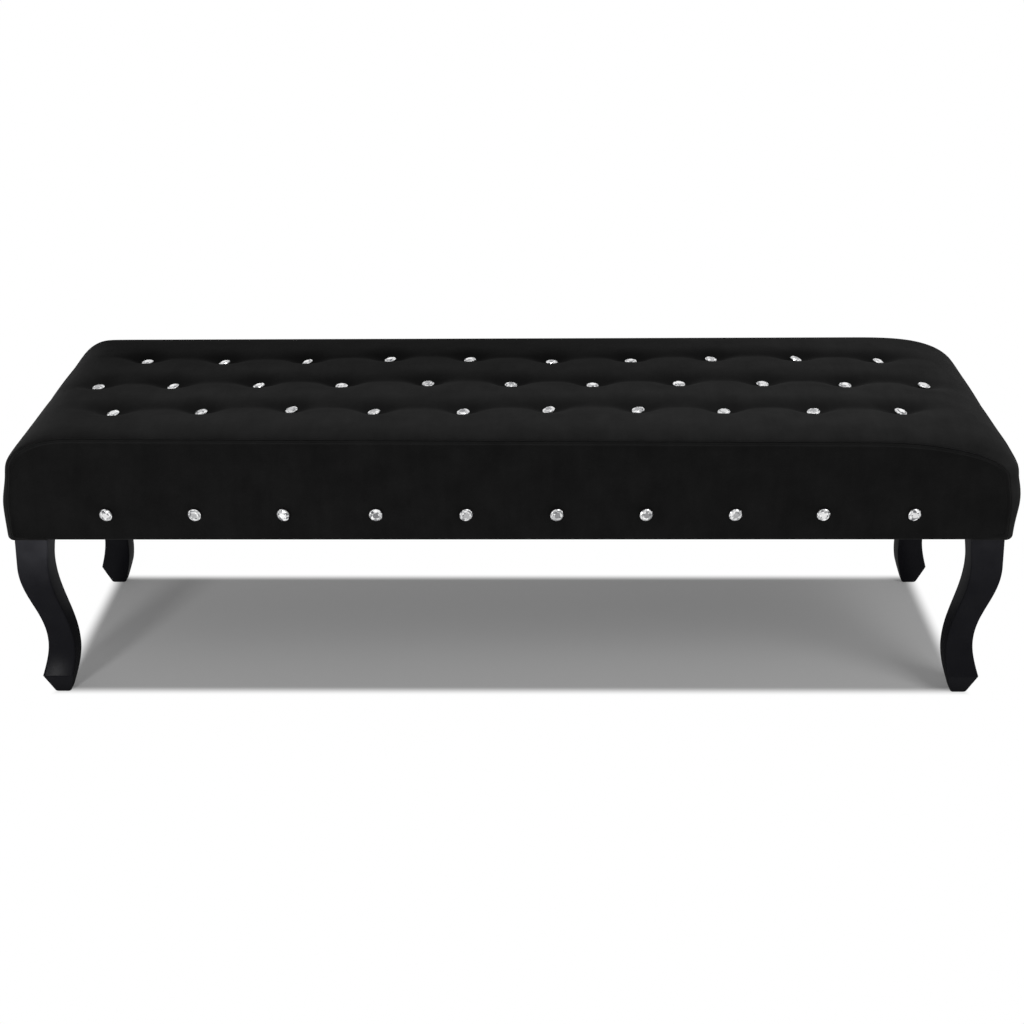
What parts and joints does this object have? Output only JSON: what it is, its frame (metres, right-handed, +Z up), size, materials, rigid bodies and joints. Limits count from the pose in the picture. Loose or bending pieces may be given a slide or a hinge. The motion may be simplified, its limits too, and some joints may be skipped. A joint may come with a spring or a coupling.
{
  "type": "upholstered bench",
  "caption": "Long, low bench with a button-tufted black velvet seat, three staggered rows of crystal buttons and curved black wooden legs.",
  "frame": {"origin": "on the floor, under the centre of the seat", "axes": "+X runs along the bench to the right as seen from the front, +Y points from front to back, +Z is up"},
  "size_m": [1.2, 0.4046, 0.355],
  "materials": {
    "velvet": "black velvet with a short pile",
    "leg_wood": "black satin lacquer on wood",
    "rail_wood": "planed softwood",
    "post_wood": "planed softwood",
    "dowel_wood": "fluted hardwood",
    "plywood": "raw plywood",
    "foam": "open foam",
    "wadding": "white polyester wadding",
    "dust_cloth": "black non-woven cloth",
    "twine": "waxed twine",
    "crystal": "clear cut crystal",
    "zinc_steel": "zinc-plated steel"
  },
  "bodies": {
    "root": {"front_rail": "rail_wood", "back_rail": "rail_wood", "left_end_rail": "rail_wood", "right_end_rail": "rail_wood", "left_cross_rail": "rail_wood", "right_cross_rail": "rail_wood", "front_left_post": "post_wood", "front_right_post": "post_wood", "rear_left_post": "post_wood", "rear_right_post": "post_wood", "frame_dowels": "dowel_wood", "cross_rail_screws": "zinc_steel", "deck_board": "plywood", "deck_screws": "zinc_steel", "seat_foam": "foam", "seat_wadding": "wadding", "front_padding": "wadding", "back_padding": "wadding", "top_cover": "velvet", "front_panel": "velvet", "back_panel": "velvet", "hem_staples": "zinc_steel", "dust_cover": "dust_cloth", "dust_cover_staples": "zinc_steel", "top_crystals": "crystal", "top_button_backs": "zinc_steel", "button_twines": "twine", "twine_washers": "zinc_steel", "front_crystals": "crystal", "front_crystal_nails": "zinc_steel", "front_left_leg": "leg_wood", "front_right_leg": "leg_wood", "rear_left_leg": "leg_wood", "rear_right_leg": "leg_wood", "leg_bolts": "zinc_steel", "leg_insert_nuts": "zinc_steel"}
  },
  "joints": []
}
